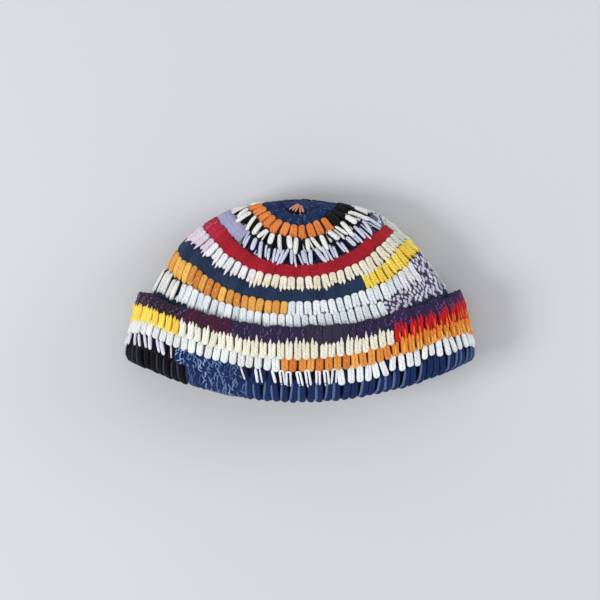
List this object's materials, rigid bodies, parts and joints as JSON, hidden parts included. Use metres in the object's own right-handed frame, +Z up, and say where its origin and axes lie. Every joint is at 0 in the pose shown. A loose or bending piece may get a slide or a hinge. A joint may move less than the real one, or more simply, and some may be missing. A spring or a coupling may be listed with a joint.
{
  "type": "crocheted watch cap",
  "caption": "Striped crocheted watch cap with a turned-up cuff, lying flat on its back, hollow and open at the mouth for a head.",
  "frame": {"origin": "centre of the bottom of the cap's box, on the surface that the cap lies on", "axes": "+Y towards the closed top of the crown, -Y out of the mouth, +Z up from the surface, X to the wearer's sides"},
  "size_m": [0.2544, 0.1474, 0.0809],
  "materials": {
    "crown_yarn": "thick crocheted yarn in stripes, matt",
    "cuff_yarn": "thick crocheted yarn in stripes, matt"
  },
  "bodies": {
    "root": {"crown": "crown_yarn", "cuff": "cuff_yarn"}
  },
  "joints": []
}
